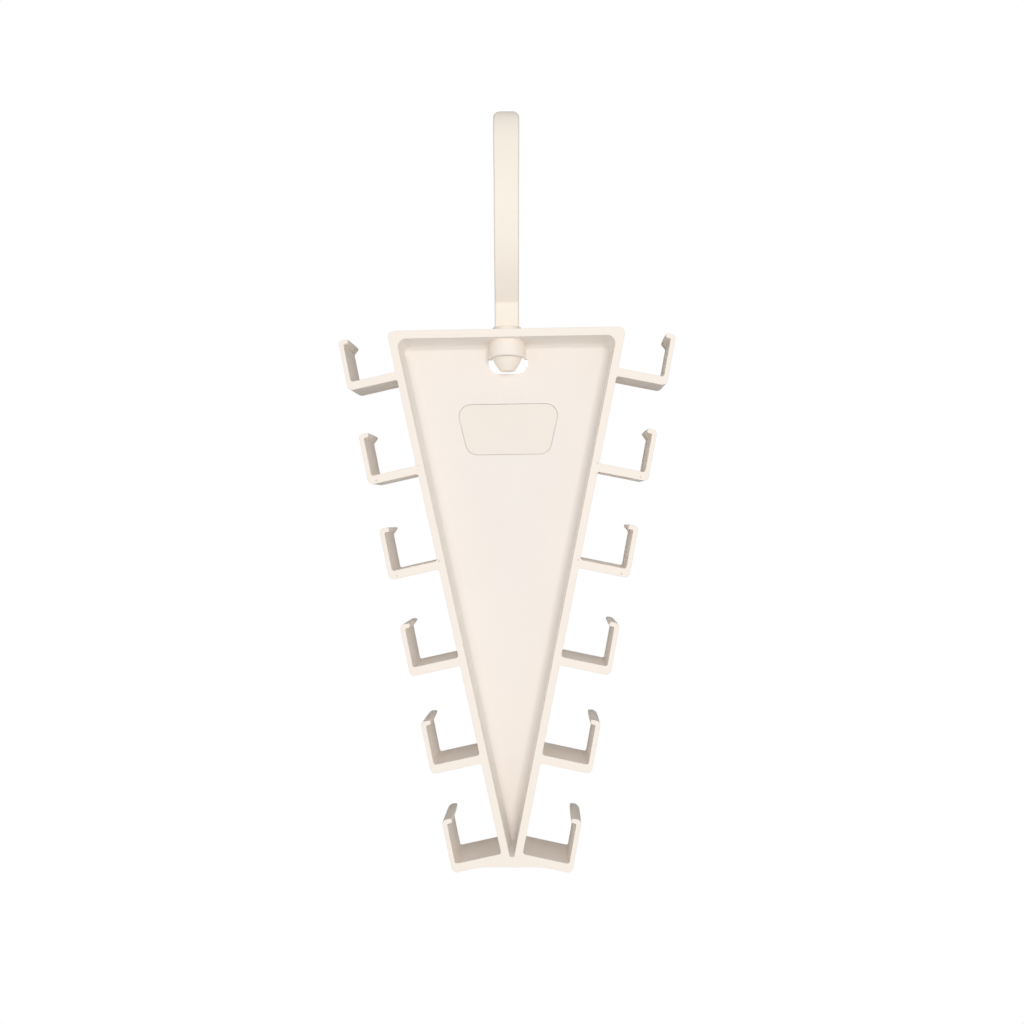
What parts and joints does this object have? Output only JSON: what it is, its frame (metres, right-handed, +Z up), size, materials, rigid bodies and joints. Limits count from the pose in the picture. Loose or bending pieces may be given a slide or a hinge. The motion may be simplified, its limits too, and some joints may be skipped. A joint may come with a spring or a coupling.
{
  "type": "multi-hook hanger",
  "caption": "Flat tapering hanger with a row of side hooks along each edge, hung from a swivelling strap hook over a rail.",
  "frame": {"origin": "seat for the rail, on the inside of the swivel hook's crest, on the swivel axis", "axes": "+Z up along the swivel axis, -Y out of the tray's open front, +X to the right seen from the front"},
  "size_m": [0.1416, 0.042, 0.3198],
  "materials": {
    "body_plastic": "satin injection-moulded cream polypropylene",
    "hook_plastic": "satin injection-moulded cream polypropylene"
  },
  "bodies": {
    "hook": {"swivel_hook": "hook_plastic"},
    "hanger": {"tray": "body_plastic", "side_hook_left_1": "body_plastic", "side_hook_left_2": "body_plastic", "side_hook_left_3": "body_plastic", "side_hook_left_4": "body_plastic", "side_hook_left_5": "body_plastic", "side_hook_left_6": "body_plastic", "side_hook_right_1": "body_plastic", "side_hook_right_2": "body_plastic", "side_hook_right_3": "body_plastic", "side_hook_right_4": "body_plastic", "side_hook_right_5": "body_plastic", "side_hook_right_6": "body_plastic"}
  },
  "joints": [
    {"name": "swivel", "type": "hinge", "parent": "hook", "child": "hanger", "pos_m": [0, 0, -0.0921], "axis": [0, 0, 1], "continuous": true}
  ]
}
